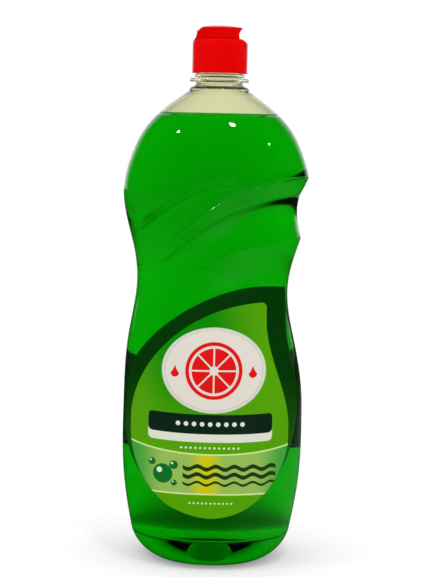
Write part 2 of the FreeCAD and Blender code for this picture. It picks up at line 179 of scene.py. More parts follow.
def grid_piece(name, points, body, node=None, ring=False):
    """Makes a closed piece from a grid of points, rows by columns, in millimetres.

    The columns close on themselves. With ring the rows do too; without it the first and the last
    row shrink to one point each, which are joined to their neighbours by triangles.
    """
    rows, columns = points.shape[:2]
    index = np.arange(rows * columns).reshape(rows, columns)
    if ring:
        low, high = index, np.roll(index, -1, axis=0)
        corners = points.reshape(-1, 3)
        fans = []
    else:
        index = index[:-2] + 1
        low, high = index[:-1], index[1:]
        corners = np.concatenate([points[0, :1], points[1:-1].reshape(-1, 3), points[-1, :1]])
        first, last = np.zeros(columns, int), np.full(columns, len(corners) - 1)
        start, end = index[0], index[-1]
        fans = [
            np.stack([first, np.roll(start, -1), start], axis=-1),
            np.stack([end, np.roll(end, -1), last], axis=-1),
        ]
    quads = np.stack([low, np.roll(low, -1, axis=1), np.roll(high, -1, axis=1), high], axis=-1)
    faces = quads.reshape(-1, 4).tolist()
    for fan in fans:
        faces += fan.tolist()
    mesh = bpy.data.meshes.new(name)
    mesh.from_pydata((corners * MM).tolist(), [], faces)
    mesh.shade_smooth()
    mesh.set_sharp_from_angle(angle=math.radians(50.0))
    piece = placed(name, mesh)
    if node:
        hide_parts(node)
    if body:
        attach(piece, body)
    pieces[name] = piece
    print("%-14s %6d points, %6d faces" % (name, len(corners), len(faces)))
    return piece


def rounded(corners, closed=False, steps=5):
    """An outline of (radius, level) whose corners are rounded.

    Each corner is (radius, level, cut). The rounding starts and ends at the distance cut from the
    corner and is a parabola between.
    """
    corners = np.array(corners, float)
    points, cut = corners[:, :2], corners[:, 2:]
    before = np.roll(points, 1, axis=0) - points
    after = np.roll(points, -1, axis=0) - points
    start = points + before * cut / np.linalg.norm(before, axis=1, keepdims=True)
    end = points + after * cut / np.linalg.norm(after, axis=1, keepdims=True)
    t = np.linspace(0.0, 1.0, steps)[None, :, None]
    arcs = parabola(start[:, None], points[:, None], end[:, None], t)
    if closed:
        return arcs.reshape(-1, 2)
    return np.concatenate([points[:1], arcs[1:-1].reshape(-1, 2), points[-1:]])


def divided(outline, step):
    """The same outline with points added, so that no two are further apart than step."""
    along = way_along(outline)
    ways = np.union1d(along, np.arange(0.0, along[-1], step))
    ways = ways[np.concatenate([[True], np.diff(ways) > 1e-6])]
    return points_at(ways, outline)


print("columns round the axis:", COLUMNS)

# %% [markdown]
# The bottle's form is the heart of this part. The real one is blown into a mould: an oval body
# with a round dome, a waist, a belly and a rounded heel. Its right side is hollowed for the
# fingers, a shallow ledge answers that hollow on the left, and the flank has a soft palm hollow.
# It could be modelled by pushing points about, but a formula is shorter and stays smooth: an oval
# section at every level, whose half width and half depth follow two curves through a few
# stations, less three hollows that fade in and out.
# The same numbers shaped the solid in the frame, so the surface lies on it to a hair.

# %% The form of the body
LEVELS = np.array([0.0, 22.0, 48.0, 88.0, 125.0, 160.0, 183.0, 206.0, 228.0, 243.0, 254.0, 262.0])
HALF_WIDTHS = np.array([41.0, 46.1, 49.9, 50.5, 48.4, 44.0, 48.2, 52.3, 47.5, 39.4, 28.2, 16.9])
HALF_DEPTHS = np.array([45.5, 43.0, 43.2, 43.5, 41.0, 37.0, 40.0, 42.8, 39.8, 33.8, 25.2, 16.9])
THROAT = LEVELS[-1]
GRIP, BULGE, FLANK = 183.0, 206.0, 125.0
GRIP_SIDE, LEDGE_SIDE, LEDGE_DROP = 50.0, 14.0, 4.5
HEEL = 16.0
WALL = 0.6
LIQUID_LEVEL = 249.0

half_width = curve_through(LEVELS, HALF_WIDTHS)
half_depth = curve_through(LEVELS, HALF_DEPTHS)


def upper_crease(x):
    """Level of the scoop's upper crease: a parabola that falls to the left."""
    return BULGE + 9.4 - 0.0060 * (GRIP_SIDE - x) ** 2


def ledge_crease(x):
    """Level of the ledge's upper crease, a parabola too."""
    return BULGE + 9.2 - 0.0082 * (LEDGE_SIDE - x) ** 2


def scoop(x, level):
    """Finger scoop: a steep upper crease, a floor, and a long run out to the lower crease."""
    upper = upper_crease(x)
    lower = GRIP - 1.6 - 0.0042 * (GRIP_SIDE - x) ** 2
    down = np.clip((upper - level) / (upper - lower), -0.5, 1.0)
    steep = soft_max(soft_min(down / 0.30, 1.0, 0.06), 0.0, 0.04)
    rise = 0.93 * steep + 0.07 * smooth((down - 0.30) / 0.15)
    run_out = np.cos(0.5 * math.pi * np.clip((down - 0.45) / 0.55, 0.0, 1.0))
    return 6.6 * smooth((x + 38.0) / 74.0) * rise * run_out


def ledge(x, level):
    """Shallow ledge above and to the left of the scoop, a crescent that fades at both ends."""
    drop = ledge_crease(x) - level
    along = np.sin(math.pi * np.clip((x + 47.0) / 61.0, 0.0, 1.0)) ** 0.8
    steep = soft_max(soft_min(drop / LEDGE_DROP, 1.0, 0.12), 0.0, 0.08)
    return 1.8 * along * steep * (1.0 - smooth((drop - LEDGE_DROP) / 14.0))


def palm(x, level):
    """Wide soft hollow in the right flank."""
    centre = FLANK + 12.4 - 0.003 * (GRIP_SIDE - x) ** 2
    off = np.clip((level - centre) / 51.0, -1.0, 1.0)
    return 4.1 * np.cos(0.5 * math.pi * off) ** 2 * smooth((x + 25.0) / 70.0)


def wall_radius(angle, level):
    """Distance from the axis to the outer wall, leaving the heel's rounding aside.

    Each section is an oval |x/a|^n + |y/b|^n = 1, with n from 2 (an ellipse) at the throat
    to 2.3 in the belly, less the hollows of the grip.
    """
    power = 2.0 + 0.3 * smooth((THROAT - level) / 25.0) * (0.5 + 0.5 * smooth(level / 40.0))
    across = np.abs(np.cos(angle) / half_width(level)) ** power
    deep = np.abs(np.sin(angle) / half_depth(level)) ** power
    radius = (across + deep) ** (-1.0 / power)
    x = radius * np.cos(angle)
    return radius - scoop(x, level) - ledge(x, level) - palm(x, level)


def form_radius(angle, level, inset):
    """The wall's radius moved inwards by inset, square to the wall, with the heel's arc taken off."""
    reach = 0.5
    slope = (wall_radius(angle, level + reach) - wall_radius(angle, level - reach)) / (2.0 * reach)
    radius = wall_radius(angle, level) - inset * np.sqrt(1.0 + slope**2)
    arc = HEEL - inset
    below = np.maximum(HEEL - level, 0.0)
    return radius - (arc - np.sqrt(np.maximum(arc**2 - below**2, 0.0)))


def form_rows(inset, low, high, step):
    """Rows of the form from one level to another: evenly round the heel's arc, then up the wall.

    With the same step, the wall's rows lie at the same levels, so the facets of the inner wall
    and of the liquid match.
    """
    arc = HEEL - inset
    bend = np.arccos(np.clip((HEEL - low) / arc, 0.0, 1.0))
    heel = HEEL - arc * np.cos(np.linspace(bend, 0.5 * math.pi, 18))[:-1]
    wall = np.arange(HEEL, high - 0.3 * step, step)
    level = np.concatenate([heel, wall, [high]])[:, None]
    return form_radius(angles[None, :], level, inset), np.broadcast_to(level, (len(level), COLUMNS))


print("half width at the bulge %.1f mm, at the waist %.1f mm" % (half_width(BULGE), half_width(160.0)))

# %% [markdown]
# The bottle itself is clear and hollow, and light passes through both of its walls. So it is one
# closed skin with an outside and an inside: it starts at the top of the dimple in the foot, runs
# over the foot ring and round the heel, up the wall to the neck, over the rim, down the bore and
# back along the inner wall to where it began, 0.6 mm further in.
# A Solidify modifier could give the thickness, but it would swell the neck as well, which is
# much thicker than the wall, so the inside is its own set of rows.
# The neck is round: a low collar where the dome ends, a support ring, a bead, and a screw thread.
# The thread is a ridge that climbs one pitch a turn. A point lies on it where its level, less the
# pitch times its share of a turn, is near a whole number of pitches.

# %% Bottle
DIMPLE_RADIUS, DIMPLE_HEIGHT, DIMPLE_ROWS = 21.0, 7.0, 14
PITCH = 3.18
NECK_RADIUS, BORE_RADIUS, NECK_TOP = 12.5, 10.87, 288.3
SUPPORT_RADIUS, SUPPORT_LOW, SUPPORT_TOP, BEAD_RADIUS = 16.47, 267.3, 269.1, 14.0
THREAD_LOW, THREAD_HIGH, THREAD_DEPTH = 273.6, 286.4, 1.2
BALL_RADIUS = (DIMPLE_RADIUS**2 + DIMPLE_HEIGHT**2) / (2.0 * DIMPLE_HEIGHT)
OUTER_STEP, INNER_STEP = 1.2, 1.8


def dimple_rows(extra):
    """Rows of the dimple's ball, from its top to the foot: its centre's level plus sqrt(R R - r r)."""
    ball = BALL_RADIUS + extra
    centre = DIMPLE_HEIGHT - BALL_RADIUS
    edge = math.sqrt(ball**2 - (extra - centre) ** 2)
    radius = np.linspace(0.0, edge, DIMPLE_ROWS)
    return turned(np.stack([radius, centre + np.sqrt(ball**2 - radius**2)], axis=-1))


def thread_ridge(angle, level, low, high, phase=0.0):
    """Height of a right-handed thread's ridge, 0 to 1: a rounded tooth that repeats every pitch.

    The distance from the tooth's middle is that of level/pitch - turn - phase from the nearest
    whole number, times the pitch; the tooth fades out at the ends of the thread.
    """
    turns = level / PITCH - angle / (2.0 * math.pi) - phase
    off = np.abs(turns - np.round(turns)) * PITCH
    fade = smooth((level - low) / 1.3) * smooth((high - level) / 1.3)
    return (1.0 - smooth((off - 0.3) / 0.65)) * fade


NECK_OUTLINE = [
    (16.8, THROAT, 0.0), (16.4, 264.1, 0.9), (13.7, 265.1, 0.6), (13.1, 265.9, 0.3),
    (13.1, SUPPORT_LOW, 0.4), (SUPPORT_RADIUS, SUPPORT_LOW, 0.45), (SUPPORT_RADIUS, SUPPORT_TOP, 0.45),
    (NECK_RADIUS, SUPPORT_TOP, 0.3), (NECK_RADIUS, 269.9, 0.2), (BEAD_RADIUS, 270.0, 0.3),
    (BEAD_RADIUS, 271.2, 0.4), (NECK_RADIUS, 271.9, 0.3), (NECK_RADIUS, NECK_TOP, 0.45),
    (BORE_RADIUS, NECK_TOP, 0.45), (BORE_RADIUS, 266.2, 0.7), (12.4, 264.3, 0.5), (15.6, 263.4, 0.6),
    (15.9, 262.1, 0.4), (16.6, 261.4, 0.0),
]


def neck_rows():
    """The neck's outline turned about the axis, with the thread's ridge added to its outside."""
    outline = rounded(NECK_OUTLINE, steps=4)
    rim = int(np.argmax(outline[:, 1])) + 1
    outline = np.concatenate([divided(outline[:rim], 0.4), outline[rim:]])
    radius, level = turned(outline)
    outside = np.abs(outline[:, :1] - NECK_RADIUS) < 0.01
    ridge = THREAD_DEPTH * thread_ridge(angles[None, :], level, THREAD_LOW, THREAD_HIGH)
    return radius + outside * ridge, level


def make_bottle():
    """The closed skin. Its inner faces that the liquid touches get the second material's number."""
    parts = [
        dimple_rows(0.0),
        form_rows(0.0, 0.0, THROAT - 0.4, OUTER_STEP),
        neck_rows(),
        [part[::-1] for part in form_rows(WALL, WALL, THROAT - WALL - 0.3, INNER_STEP)],
        [part[::-1] for part in dimple_rows(WALL)],
    ]
    radius, level = joined(parts)
    piece = grid_piece("bottle_shell", round_points(radius, level), "bottle", "bottle")
    outside_rows = sum(len(part[0]) for part in parts[:3])
    wet_rows = (np.arange(len(level)) > outside_rows) & (level[:, 0] < LIQUID_LEVEL)
    between_rows = np.repeat(wet_rows[1:-2], COLUMNS)
    wetted = np.concatenate([between_rows, np.zeros(COLUMNS, bool), np.ones(COLUMNS, bool)])
    piece.data.polygons.foreach_set("material_index", wetted.astype(np.int32))
    print("faces touched by the liquid:", int(wetted.sum()))


make_bottle()

# %% [markdown]
# The liquid fills the bottle to 13 mm under the neck. In the render it has to meet the wall,
# because a hair of air between them would act as a mirror. So its skin lies just inside the
# plastic, and light goes from plastic to liquid with no gap. At its surface the liquid climbs the
# wall a little, as soap does: the climb falls off with the distance from the wall.

# %% Liquid
LIQUID_INSET = WALL - 0.05
CLIMB, CLIMB_REACH = 0.9, 1.1


def make_liquid():
    """Rows up the dimple and the wall, then inwards over the surface, which sinks from its rim."""
    wall = form_rows(LIQUID_INSET, LIQUID_INSET, LIQUID_LEVEL + CLIMB, INNER_STEP)
    share = np.concatenate([np.linspace(0.995, 0.9, 10), np.linspace(0.88, 0.0, 12)])[:, None]
    rim = wall[0][-1][None, :]
    top = rim * share, LIQUID_LEVEL + CLIMB * np.exp(-rim * (1.0 - share) / CLIMB_REACH)
    radius, level = joined([dimple_rows(LIQUID_INSET), wall, top])
    grid_piece("soap_liquid", round_points(radius, level), "bottle", "liquid")


make_liquid()

# %% [markdown]
# A label is a thin film glued to the wall. It could be a flat shape shrink-wrapped onto the
# bottle; here its outline is drawn flat, filled with points between its middle and its edge, and
# each point is moved back onto the form: the angle is searched at which the form has that x.
# The search halves its range each time and works on all the points together.
# The grid runs from the middle of the printed face out to the edge, over the film's thickness,
# and back to the middle of the glued face, so the film is closed.

# %% Labels
FILM_GAP, FILM_THICKNESS = 0.04, 0.12
FILM_ROWS, FRONT_POINTS, BACK_POINTS = 42, 240, 160
LABEL_OUTLINE = np.array([
    (39.0, 154.7), (23.0, 156.0), (2.0, 151.2), (-19.9, 139.7), (-34.9, 126.5), (-44.0, 113.1),
    (-48.4, 96.5), (-49.0, 83.5), (-46.0, 63.5), (-40.0, 52.5), (-30.8, 40.4), (-17.2, 32.6),
    (0.1, 29.0), (14.7, 31.8), (25.6, 38.1), (36.1, 50.5), (43.4, 66.0), (46.7, 82.0), (47.0, 97.0),
    (44.9, 110.0), (42.0, 121.0), (40.0, 133.0),
])


def closed_outline(points, count):
    """Evenly spaced points along a smooth curve through points, closed by a straight side."""
    along = way_along(points)
    fine = np.linspace(0.0, along[-1], 2000)
    line = np.stack([curve_through(along, points[:, axis])(fine) for axis in (0, 1)], axis=-1)
    line = np.concatenate([line, points[:1]])
    places = np.linspace(0.0, way_along(line)[-1], count + 1)[:-1]
    return points_at(places, line)


def soft_rectangle(middle, half_size, power, count):
    """Points round a rectangle with soft corners: |x/a|^n + |y/b|^n = 1, with n the power."""
    turn = np.arange(count) * 2.0 * math.pi / count
    direction = np.stack([np.cos(turn), np.sin(turn)], axis=-1)
    reach = np.sum(np.abs(direction) ** power, axis=1, keepdims=True) ** (-1.0 / power)
    return middle + half_size * direction * reach


def angle_at(x, level, inset, front):
    """The angle at which the form has that x, on its front or its back, found by halving."""
    low = np.full(x.shape, -math.pi) if front else np.full(x.shape, math.pi)
    high = np.zeros(x.shape)
    for _ in range(40):
        middle = 0.5 * (low + high)
        too_far_left = form_radius(middle, level, inset) * np.cos(middle) < x
        low = np.where(too_far_left, middle, low)
        high = np.where(too_far_left, high, middle)
    return 0.5 * (low + high)


def make_label(name, outline, centre, front, node):
    """A film from its flat outline: rows from the middle of its face out, and back on its rear side."""
    share = np.linspace(0.0, 1.0, FILM_ROWS)
    shares = np.concatenate([share, share[::-1]])
    insets = np.repeat([-FILM_GAP - FILM_THICKNESS, -FILM_GAP], FILM_ROWS)
    flat = centre + shares[:, None, None] * (outline - centre)
    x, level = flat[..., 0], flat[..., 1]
    inset = insets[:, None] * np.ones(x.shape)
    angle = angle_at(x, level, inset, front)
    points = round_points(form_radius(angle, level, inset), level, angle)
    grid_piece(name, points, "bottle", node)


front_middle = np.array([-1.0, 92.0])
front_outline = closed_outline(LABEL_OUTLINE, FRONT_POINTS)[::-1]
make_label("label_front", front_outline, front_middle, True, "front_label")

BACK_LOW, BACK_HEIGHT, BACK_HALF_WIDTH, CORNER_POWER = 56.0, 52.0, 29.0, 7.0
back_middle = np.array([0.0, BACK_LOW + 0.5 * BACK_HEIGHT])
back_half = np.array([BACK_HALF_WIDTH, 0.5 * BACK_HEIGHT])
back_outline = soft_rectangle(back_middle, back_half, CORNER_POWER, BACK_POINTS)[::-1]
make_label("label_back", back_outline, back_middle, False, "back_label")

# %% [markdown]
# The sealing ring is a flat washer of foam between the neck's rim and the cap. It shows only when
# the cap is off. Its section is a small rectangle with soft corners, carried once round the axis.

# %% Sealing ring
WASHER_RADIUS, WASHER_LOW, WASHER_TOP, WASHER_CUT = 13.7, 288.32, 289.28, 0.25
lower = [(BORE_RADIUS, WASHER_LOW, WASHER_CUT), (WASHER_RADIUS, WASHER_LOW, WASHER_CUT)]
upper = [(WASHER_RADIUS, WASHER_TOP, WASHER_CUT), (BORE_RADIUS, WASHER_TOP, WASHER_CUT)]
ring_outline = rounded(lower + upper, closed=True)
ring_points = round_points(ring_outline[:, :1], ring_outline[:, 1:])
grid_piece("sealing_washer", ring_points, "seal", "sealing_ring", ring=True)

# %% [markdown]
# The cap is moulded in one piece: a skirt with a thread inside, a rounded shoulder, a deck and a
# short nozzle with a hole. Its section is a closed outline that starts and ends at the skirt's
# lower edge, so turned about the axis it makes a closed ring.
# Its thread is the neck's thread moved half a pitch, so the two ridges lie between each other and
# stay so at every turn.

# %% Cap base
CAP_BORE, SKIRT_LOW, CAP_RADIUS, DECK_LOW, DECK_TOP = 14.05, 272.1, 15.4, 289.3, 291.3
NOZZLE_TOP, NOZZLE_RADIUS, ORIFICE_RADIUS = 294.3, 3.6, 1.7
CAP_THREAD_DEPTH, SHOULDER_LOW, THUMB_START = 1.1, 287.0, 10.0
CAP_SECTION = [
    (CAP_BORE, SKIRT_LOW, 0.3), (CAP_RADIUS, SKIRT_LOW, 0.35), (CAP_RADIUS, DECK_TOP, 3.0),
    (NOZZLE_RADIUS, DECK_TOP, 0.5), (NOZZLE_RADIUS, NOZZLE_TOP, 0.7), (ORIFICE_RADIUS, NOZZLE_TOP, 0.4),
    (ORIFICE_RADIUS, DECK_LOW, 0.3), (CAP_BORE, DECK_LOW, 0.4),
]


def make_cap():
    """The section carried round, with the thread's ridge in its bore and a slope for the thumb.

    On the right the shoulder is cut to the level deck less 0.1 (x - 10) squared.
    """
    outline = rounded(CAP_SECTION, closed=True, steps=9)
    outline = divided(np.concatenate([outline, outline[:1]]), 0.35)[:-1]
    radius, level = turned(outline)
    in_bore = np.abs(outline[:, :1] - CAP_BORE) < 0.01
    ridge = thread_ridge(angles[None, :], level, SKIRT_LOW + 1.2, DECK_LOW - 3.0, 0.5)
    shoulder = (outline[:, :1] > NOZZLE_RADIUS + 1.0) & (level > SHOULDER_LOW)
    shoulder &= ~in_bore & (level != DECK_LOW)
    slope = DECK_TOP - 0.10 * np.maximum(radius * np.cos(angles) - THUMB_START, 0.0) ** 2
    level = np.where(shoulder, soft_min(level, slope, 0.05), level)
    points = round_points(radius - in_bore * CAP_THREAD_DEPTH * ridge, level)
    grid_piece("screw_cap", points, "cap", "cap_base", ring=True)


make_cap()

# %% [markdown]
# The lid closes over the nozzle, and a pin under its roof plugs the hole. Outside it is a round
# cup with three changes: on its left a square block carries the hinge and a slope leads from that
# block to the roof, and on its right a round hollow under the rim leaves a lip for the thumb.
# Booleans could cut these, but their edges would be hard, and a moulded edge never is. Here the
# cup's radius is a formula of angle and level, and where two forms meet the smaller or the larger
# is taken with a soft change-over, which rounds the edge by itself.

# %% Lid
LID_RADIUS, LID_SIDE_TOP, LID_TOP = 12.9, 297.3, 298.6
BLOCK_REACH, BLOCK_SLANT, BLOCK_HALF_WIDTH, BLOCK_TOP = 13.4, 0.4, 7.5, 295.2
SLOPE_START, SLOPE_END = -13.0, -8.5
NOTCH_RADIUS, NOTCH_X, NOTCH_LEVEL = 4.6, 15.1, 293.2
LID_INNER, LID_CEILING = 9.2, 296.7
PIN_TIP, PIN_TIP_RADIUS, PIN_ROOT_RADIUS = 292.3, 0.9, 1.8
EDGE, RIM_EDGE = 0.55, 0.3


def lid_reach(angle, level):
    """Outer radius of the lid: the round cup or the hinge block, whichever is larger, less the notch."""
    across, along = np.cos(angle), np.sin(angle)
    reach = BLOCK_REACH - BLOCK_SLANT * np.clip((level - DECK_TOP) / (BLOCK_TOP - DECK_TOP), 0.0, 1.0)
    block = (np.abs(across / reach) ** 14 + np.abs(along / BLOCK_HALF_WIDTH) ** 14) ** (-1.0 / 14)
    block = np.where(across < -0.5, block, 0.0)
    radius = np.where(across < 0.0, soft_max(LID_RADIUS, block, 0.12), LID_RADIUS)
    deep = np.sqrt(np.maximum(NOTCH_RADIUS**2 - (level - NOTCH_LEVEL) ** 2, 0.0))
    notch = np.where(across > 0.3, (NOTCH_X - deep) / np.maximum(across, 0.3), 40.0)
    return soft_min(radius, notch, 0.25)


def lid_roof(radius, angle):
    """Level of the lid's roof: a shallow dome, the slope on the left, and the block's flat top."""
    dome = LID_TOP - (LID_TOP - LID_SIDE_TOP) * (radius / LID_RADIUS) ** 2
    steep = (LID_TOP - BLOCK_TOP) / (SLOPE_END - SLOPE_START)
    slope = BLOCK_TOP + (radius * np.cos(angle) - SLOPE_START) * steep
    shelf = BLOCK_TOP + 6.0 * np.clip((LID_RADIUS + 0.15 - radius) / 0.5, 0.0, 1.0)
    return soft_min(soft_min(dome, slope, 0.3), shelf, 0.1)


def make_lid():
    """Rows from the pin's tip along the inside, round the lower rim, up the side and over the roof."""
    hollow = rounded([
        (0.0, PIN_TIP, 0.0), (PIN_TIP_RADIUS, PIN_TIP, 0.4), (PIN_ROOT_RADIUS, LID_CEILING, 0.6),
        (LID_INNER, LID_CEILING, 0.6), (LID_INNER, DECK_TOP, 0.3), (LID_INNER + 0.5, DECK_TOP, 0.0),
    ])
    rim_start, rim_end = LID_INNER + 0.7, lid_reach(angles, DECK_TOP) - RIM_EDGE
    rim = rim_start + (rim_end - rim_start) * np.array([0.0, 0.35, 0.7, 1.0])[:, None]
    side_top = lid_roof(lid_reach(angles, LID_SIDE_TOP) - EDGE, angles) - EDGE
    climb = np.linspace(0.0, 1.0, 26)[:, None]
    side_level = DECK_TOP + RIM_EDGE + (side_top - DECK_TOP - RIM_EDGE) * climb
    side = lid_reach(angles, side_level)
    brim = side[-1:] - EDGE
    turn = np.linspace(0.0, 0.5 * math.pi, 7)[1:, None]
    edge_level = side_top + (lid_roof(brim, angles) - side_top) * np.sin(turn)
    roof = brim * np.concatenate([np.linspace(0.98, 0.72, 14), np.linspace(0.68, 0.0, 14)])[:, None]
    radius, level = joined([
        turned(hollow),
        (rim, np.full(rim.shape, DECK_TOP)),
        (side, side_level),
        (brim + EDGE * np.cos(turn), edge_level),
        (roof, lid_roof(roof, angles)),
    ])
    grid_piece("flip_lid", round_points(radius, level), "lid", "cap_lid")


make_lid()

# %% [markdown]
# Lid and cap are one moulding, joined by a thin strap at the hinge that folds each time the lid
# is opened. The strap is a thin closed band; it is attached to no body, and its place is baked
# into its mesh.

# %% Hinge strap
STRAP_HALF_WIDTH, STRAP_THICKNESS, STRAP_COLUMNS = 6.4, 0.35, 24
STRAP_LOW, STRAP_CORNER, STRAP_HIGH = np.array([(-14.25, 290.55), (-13.5, 291.3), (-13.3, 292.5)])


def make_strap():
    """A band with a rounded section along a parabola, nearly as wide as the hinge block."""
    line = parabola(STRAP_LOW, STRAP_CORNER, STRAP_HIGH, np.linspace(0.0, 1.0, 9)[:, None])
    step = np.gradient(line, axis=0)
    across = np.stack([step[:, 1], -step[:, 0]], axis=-1) / np.linalg.norm(step, axis=1, keepdims=True)
    turn = np.arange(STRAP_COLUMNS) * 2.0 * math.pi / STRAP_COLUMNS
    wide = STRAP_HALF_WIDTH * np.sign(np.cos(turn)) * np.abs(np.cos(turn)) ** 0.25
    thick = 0.5 * STRAP_THICKNESS * np.sin(turn)
    x = line[:, :1] - across[:, :1] * thick
    z = line[:, 1:] - across[:, 1:] * thick
    rows = np.stack([x, np.broadcast_to(-wide, x.shape), z], axis=-1)
    middles = np.repeat(rows.mean(axis=1, keepdims=True), STRAP_COLUMNS, axis=1)
    piece = grid_piece("hinge_strap", np.concatenate([middles[:1], rows, middles[-1:]]), None)
    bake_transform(piece)


make_strap()

# %% [markdown]
# Now the finishes. A Blender material is a net of nodes, and a printed label would need hundreds
# of clicks. Here one small class wraps a node's output, so that a sum in Python adds the Math
# nodes for it: 1 - mask is written just so.
# Colours are mixed by a mask, never added up, and every pattern reads the object's own
# coordinates, so it stays on the piece in all views.

# %% Shader arithmetic


class Shade:
    """One output of a node, or just its tree, with the usual signs for numbers."""

    def __init__(self, tree, socket=None):
        self.tree = tree
        self.socket = socket

    def node(self, kind, settings=None, inputs=None, output=0):
        """Adds a node: its settings first, then values or links for its sockets. Gives one output."""
        made = self.tree.nodes.new(kind)
        for name, value in (settings or {}).items():
            setattr(made, name, value)
        for name, value in (inputs or {}).items():
            if isinstance(value, Shade):
                self.tree.links.new(value.socket, made.inputs[name])
            else:
                made.inputs[name].default_value = value
        return Shade(self.tree, made.outputs[output])

    def math(self, operation, *others):
        return self.node("ShaderNodeMath", {"operation": operation}, dict(enumerate((self,) + others)))

    def __add__(self, other):
        return self.math("ADD", other)

    __radd__ = __add__

    def __sub__(self, other):
        return self.math("SUBTRACT", other)

    def __rsub__(self, other):
        return self.node("ShaderNodeMath", {"operation": "SUBTRACT"}, {0: other, 1: self})

    def __mul__(self, other):
        return self.math("MULTIPLY", other)

    __rmul__ = __mul__

    def __truediv__(self, other):
        return self.math("DIVIDE", other)

    def __pow__(self, other):
        return self.math("POWER", other)

    def __abs__(self):
        return self.math("ABSOLUTE")

    def step(self, low, high):
        """A smooth step from 0 at low to 1 at high. With low above high it steps down."""
        sockets = {0: self, 1: low, 2: high, 3: 0.0, 4: 1.0}
        if low > high:
            sockets = {0: self, 1: high, 2: low, 3: 1.0, 4: 0.0}
        return self.node("ShaderNodeMapRange", {"interpolation_type": "SMOOTHSTEP"}, sockets)

    def mix(self, low, high):
        """The colour low where this mask is 0, the colour high where it is 1."""
        return self.node("ShaderNodeMix", {"data_type": "RGBA"}, {0: self, 6: low, 7: high}, 2)


def colour(red, green, blue):
    """A screen colour, 0 to 255 each, as the linear colour that the shader takes."""
    part = np.array([red, green, blue]) / 255.0
    linear = np.where(part <= 0.04045, part / 12.92, ((part + 0.055) / 1.055) ** 2.4)
    return tuple(float(number) for number in linear) + (1.0,)


def new_finish(name, fixed):
    """A material with a Principled shader, whose constant sockets are set. Gives its parts."""
    made = bpy.data.materials.new(name)
    made.use_nodes = True
    surface = made.node_tree.nodes["Principled BSDF"]
    for socket, value in fixed.items():
        surface.inputs[socket].default_value = value
    return made, Shade(made.node_tree), surface


def feed(surface, **shades):
    """Links shades to sockets of the surface: base_color to Base Color, and so on."""
    for name, shade in shades.items():
        socket = surface.inputs[name.replace("_", " ").title()]
        shade.tree.links.new(shade.socket, socket)


def place_in_mm(shade):
    """The object's own x, y and z, in millimetres."""
    place = shade.node("ShaderNodeTexCoord", output="Object")
    parts = (shade.node("ShaderNodeSeparateXYZ", inputs={0: place}, output=axis) for axis in "XYZ")
    return [part * 1000.0 for part in parts]


def noise(shade, scale, detail=2.0):
    """Soft noise between 0 and 1 on the object's coordinates; scale is in waves a metre."""
    place = shade.node("ShaderNodeTexCoord", output="Object")
    return shade.node("ShaderNodeTexNoise", None, {"Vector": place, "Scale": scale, "Detail": detail})


def bump(shade, height, distance):
    """A normal for a relief, whose height is a share of the distance in metres."""
    inputs = {"Strength": 1.0, "Distance": distance, "Height": height}
    return shade.node("ShaderNodeBump", None, inputs, "Normal")


print("a colour of 200, 100, 50 is", colour(200, 100, 50))

# %% [markdown]
# The bottle is clear polyester with a faint straw tint. Glass in Blender is a Principled shader
# with full transmission. A blown wall is never quite even: slow waves run through it, and a fine
# line shows where the two halves of the mould met, on both sides and across the foot. Both are
# bumps of about a twentieth of a millimetre. On the front, deeper grooves follow the creases of
# the grip, where the mould turns more sharply than the form here does, and a shallow one the heel.
# Where the liquid wets the inner wall, plastic and liquid meet with no air between. One border
# bends the light there, not two, so those faces of the inner wall are left see-through and the
# liquid's own skin, which lies a twentieth of a millimetre inside the plastic, does the bending.

# %% Clear plastic


def wall_bump(shade):
    """The wall's relief: slow waves, the parting line, and grooves along the creases and the heel."""
    x, y, z = place_in_mm(shade)
    above_scoop = z - upper_crease(x)
    above_ledge = z - ledge_crease(x)
    crease = abs(above_scoop).step(0.5, 0.0) * x.step(-34.0, 0.0)
    crease = crease + abs(above_scoop + 9.6).step(0.6, 0.0) * x.step(-38.0, -10.0) * 1.6
    ledge_line = abs(above_ledge).step(0.6, 0.0) + abs(above_ledge + 4.6).step(0.6, 0.0)
    crease = crease + ledge_line * x.step(-44.0, -34.0) * x.step(13.0, 4.0) * 2.0
    heel_line = abs(z - HEEL).step(0.8, 0.0) * 0.5
    front_lines = (crease * 1.4 + heel_line * 0.6) * y.step(0.0, -6.0)
    relief = noise(shade, 38.0, 1.0) * 0.3 + abs(y).step(0.30, 0.05) * 0.12 - front_lines
    return bump(shade, relief, 0.0004)


PLASTIC_IOR, LIQUID_IOR = 1.5, 1.36
clear, shade, surface = new_finish("clear_plastic", {
    "Base Color": (0.90, 0.905, 0.68, 1.0),
    "Transmission Weight": 1.0,
    "IOR": PLASTIC_IOR,
})
haze = noise(shade, 120.0, 3.0)
feed(surface, roughness=haze.step(0.3, 0.8) * 0.03 + 0.004, normal=wall_bump(shade))
pieces["bottle_shell"].data.materials.append(clear)

wetted_wall = bpy.data.materials.new("wetted_wall")
wetted_wall.use_nodes = True
tree = wetted_wall.node_tree
nothing = Shade(tree).node("ShaderNodeBsdfTransparent")
tree.nodes.remove(tree.nodes["Principled BSDF"])
tree.links.new(nothing.socket, tree.nodes["Material Output"].inputs["Surface"])
pieces["bottle_shell"].data.materials.append(wetted_wall)
print("clear plastic on the bottle")

# %% [markdown]
# The soap is a clear green liquid. Its colour doesn't lie on its surface: light loses its red and
# blue on the way through, and the longer the way, the deeper the green. So the surface is clear
# like water, and the colour is the volume's absorption.
# Where it touches the wall, light goes from plastic straight to liquid, so the skin there bends it
# by the ratio of the two, 1.36 over 1.5. Only its open top borders on air and bends it by 1.36.

